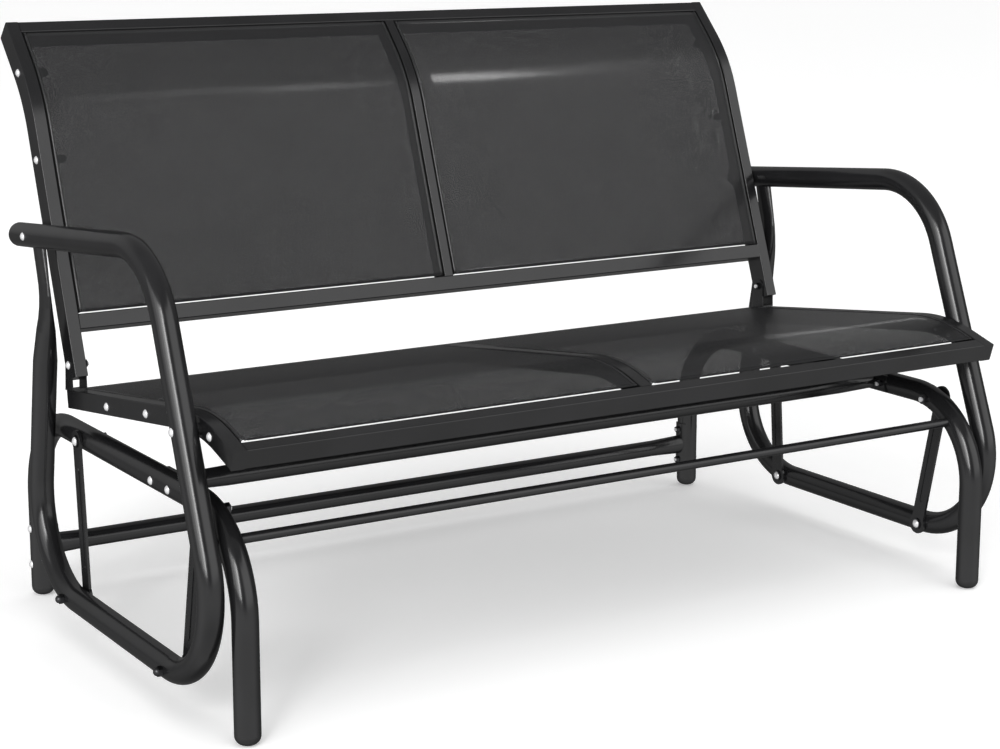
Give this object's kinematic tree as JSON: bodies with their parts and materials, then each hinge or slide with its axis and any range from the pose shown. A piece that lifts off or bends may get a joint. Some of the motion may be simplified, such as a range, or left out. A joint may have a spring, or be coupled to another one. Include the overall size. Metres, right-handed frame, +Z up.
{
  "type": "glider bench",
  "caption": "Two-seat porch glider bench: sling seat and back on arm frames that swing from a tube base on flat links.",
  "frame": {"origin": "on the floor under the middle of the bench's box at rest", "axes": "+X across the bench to the sitter's left, +Y towards the back, +Z up"},
  "size_m": [1.367, 0.779, 0.8722],
  "materials": {
    "coated_tube": "satin powder coat",
    "coated_sheet": "satin powder coat",
    "bright_hardware": "bright zinc",
    "dark_hardware": "black zinc",
    "bushing": "moulded",
    "cap_plastic": "satin moulded",
    "sling_strip": "moulded",
    "sling_mesh": "woven PVC mesh"
  },
  "bodies": {
    "base": {"base_frame_left": "coated_tube", "base_frame_right": "coated_tube", "foot_caps": "cap_plastic", "rear_cross_tube": "coated_tube", "under_seat_cross_tube": "coated_tube", "front_tie_rod": "coated_tube", "rear_cross_bolts": "bright_hardware", "rear_cross_nuts": "dark_hardware", "under_seat_bolts": "bright_hardware", "under_seat_nuts": "dark_hardware", "tie_rod_screws": "bright_hardware", "upper_pivot_bolts": "bright_hardware", "upper_pivot_washers": "dark_hardware", "upper_pivot_nuts": "dark_hardware"},
    "front_links": {"front_link_left": "coated_sheet", "front_link_right": "coated_sheet", "front_link_bushings": "bushing"},
    "rear_links": {"rear_link_left": "coated_sheet", "rear_link_right": "coated_sheet", "rear_link_bushings": "bushing"},
    "glider": {"arm_frame_left": "coated_tube", "arm_frame_right": "coated_tube", "armrest_caps": "cap_plastic", "arm_spacers": "coated_tube", "arm_bolts": "bright_hardware", "arm_nuts": "dark_hardware", "seat_side_rail_left": "coated_tube", "seat_side_rail_right": "coated_tube", "seat_front_rail": "coated_tube", "seat_rear_rail": "coated_tube", "seat_centre_rail": "coated_tube", "seat_sling_strips": "sling_strip", "seat_mesh_left": "sling_mesh", "seat_mesh_right": "sling_mesh", "seat_side_bolts": "bright_hardware", "seat_side_nuts": "dark_hardware", "back_upright_left": "coated_tube", "back_upright_right": "coated_tube", "back_top_rail": "coated_tube", "back_bottom_rail": "coated_tube", "back_centre_upright": "coated_tube", "back_sling_strips": "sling_strip", "back_mesh_left": "sling_mesh", "back_mesh_right": "sling_mesh", "back_side_bolts": "bright_hardware", "back_side_nuts": "dark_hardware", "back_bracket_left": "coated_sheet", "back_bracket_right": "coated_sheet", "bracket_bolts": "bright_hardware", "bracket_nuts": "dark_hardware", "lower_pivot_bolts": "bright_hardware", "lower_pivot_washers": "dark_hardware", "lower_pivot_acorn_nuts": "dark_hardware"}
  },
  "joints": [
    {"name": "front_swing", "type": "hinge", "parent": "base", "child": "front_links", "pos_m": [0, -0.28052, 0.28417], "axis": [1, 0, 0], "range_deg": [-12, 8]},
    {"name": "rear_swing", "type": "hinge", "parent": "base", "child": "rear_links", "pos_m": [0, 0.13448, 0.29], "axis": [1, 0, 0], "range_deg": [-12, 8]},
    {"name": "glide_tilt", "type": "hinge", "parent": "front_links", "child": "glider", "pos_m": [0, -0.23552, 0.0662], "axis": [1, 0, 0], "range_deg": [-10, 15]}
  ],
  "couplings": [
    {"joint": "rear_swing", "follows": "front_swing", "ratio": 0.988},
    {"joint": "glide_tilt", "follows": "front_swing", "ratio": -1.176}
  ]
}
